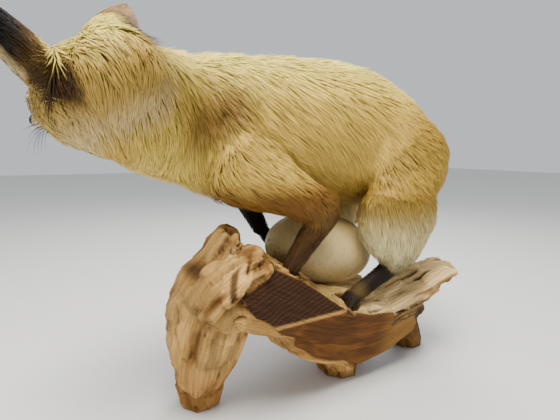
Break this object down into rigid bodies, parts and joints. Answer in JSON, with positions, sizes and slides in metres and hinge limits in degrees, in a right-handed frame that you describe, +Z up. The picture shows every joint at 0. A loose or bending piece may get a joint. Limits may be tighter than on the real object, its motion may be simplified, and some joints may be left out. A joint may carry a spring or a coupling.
{
  "type": "taxidermy red fox",
  "caption": "Still, life-size taxidermy red fox crouching with its head turned away, mounted on sawn driftwood with a round stone under its chest.",
  "frame": {"origin": "middle of the bounding box on X and Y, at the level of the driftwood's feet", "axes": "+Z up; the fox's body points along -X, its left side is -Y, and its head turns towards +Y"},
  "size_m": [0.5934, 0.3414, 0.4781],
  "materials": {
    "coat": "straw-gold fur, long and soft, cream below and grizzled brown on the shoulder",
    "coat_dark": "short dark brown to black fur on the ears, lower legs and paws",
    "nose": "black, pebbled, satin",
    "eye": "amber glass eye with a dark slit pupil",
    "driftwood": "weathered tan and grey driftwood with bare saw cuts",
    "stone": "smooth water-worn stone, grey-cream with fine dark speckles"
  },
  "bodies": {
    "root": {"base_driftwood": "driftwood", "base_stone": "stone", "ear_left": "coat_dark", "ear_right": "coat_dark", "eye_left": "eye", "eye_right": "eye", "foreleg_left_lower": "coat", "foreleg_left_upper": "coat", "foreleg_right_lower": "coat", "foreleg_right_upper": "coat", "forepaw_left": "coat_dark", "forepaw_right": "coat_dark", "head": "coat", "hindleg_left_foot": "coat_dark", "hindleg_left_shank": "coat", "hindleg_left_thigh": "coat", "hindleg_right_foot": "coat_dark", "hindleg_right_shank": "coat", "hindleg_right_thigh": "coat", "hindpaw_left": "coat_dark", "hindpaw_right": "coat_dark", "neck": "coat", "nose": "nose", "tail_middle": "coat", "tail_root": "coat", "tail_tip": "coat", "trunk": "coat"}
  },
  "joints": []
}
